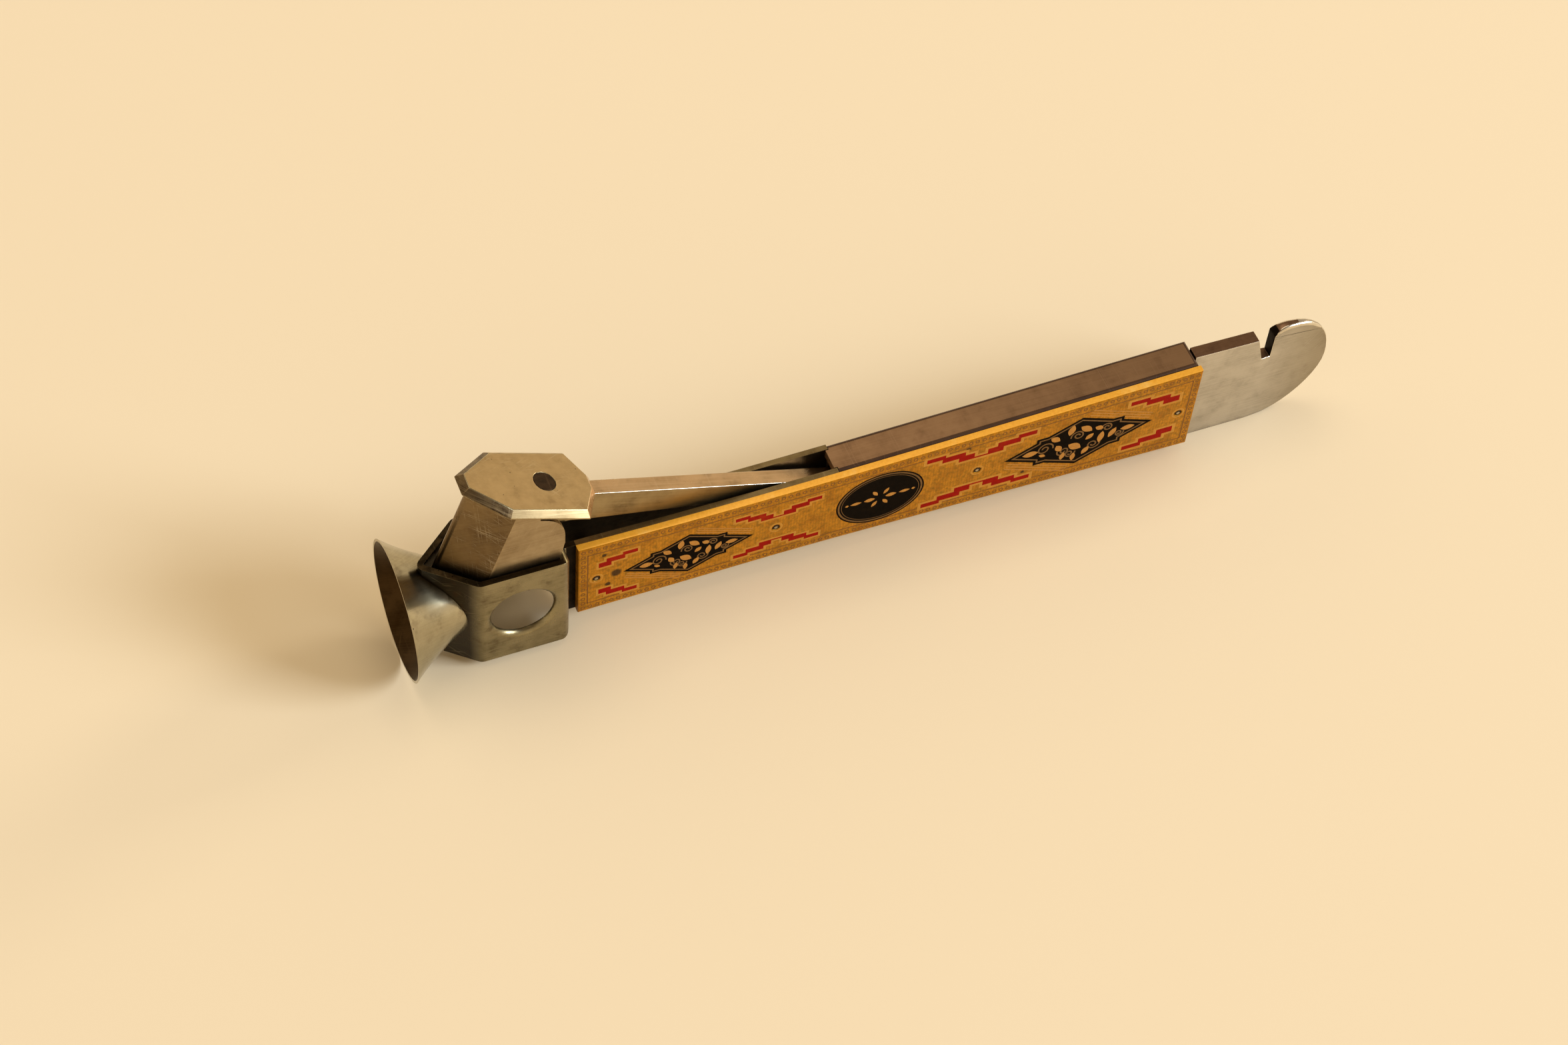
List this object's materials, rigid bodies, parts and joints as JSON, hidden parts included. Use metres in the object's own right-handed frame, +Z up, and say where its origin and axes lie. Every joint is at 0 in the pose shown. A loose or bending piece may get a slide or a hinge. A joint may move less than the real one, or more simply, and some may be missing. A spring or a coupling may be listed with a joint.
{
  "type": "cigar cutter",
  "caption": "Hand cigar cutter with a pressed-down folded V blade in a pointed steel head, a funnel, round side holes, a printed handle plate and a box opener blade.",
  "frame": {"origin": "middle of the bounding box, on the level the rim and the opener stand on", "axes": "+X from the cutting head to the box opener, +Y from the printed side to the back, +Z up"},
  "size_m": [0.166, 0.0238, 0.0405],
  "materials": {
    "nickel_steel": "worn satin nickel",
    "spine_steel": "brown satin steel",
    "ground_steel": "ground satin steel",
    "blade_steel": "scratched brown steel",
    "pin_steel": "plain steel",
    "spring_steel": "dark spring steel",
    "printed_metal": "printed gold lacquer"
  },
  "bodies": {
    "body": {"head_band": "nickel_steel", "funnel": "nickel_steel", "rear_channel": "spine_steel", "liner": "spine_steel", "box_opener": "ground_steel", "printed_plate": "printed_metal", "leaf_spring": "spring_steel", "handle_pin_1": "pin_steel", "handle_pin_2": "pin_steel", "handle_pin_3": "pin_steel", "handle_pin_4": "pin_steel", "spacer_bush_1": "pin_steel", "spacer_bush_2": "pin_steel", "pivot_pin": "pin_steel", "stop_pin": "pin_steel", "spring_rivet": "pin_steel"},
    "lever": {"lever": "ground_steel", "v_blade": "blade_steel", "thumb_plate": "nickel_steel", "thumb_rivet": "spring_steel"}
  },
  "joints": [
    {"name": "lever_press", "type": "hinge", "parent": "body", "child": "lever", "pos_m": [-0.00407, 0, 0.01378], "axis": [0, -1, 0], "range_deg": [0, 10.8], "stiffness_Nm_per_rad": 0.6, "springref_deg": -10.03, "deforming": ["leaf_spring"]}
  ]
}
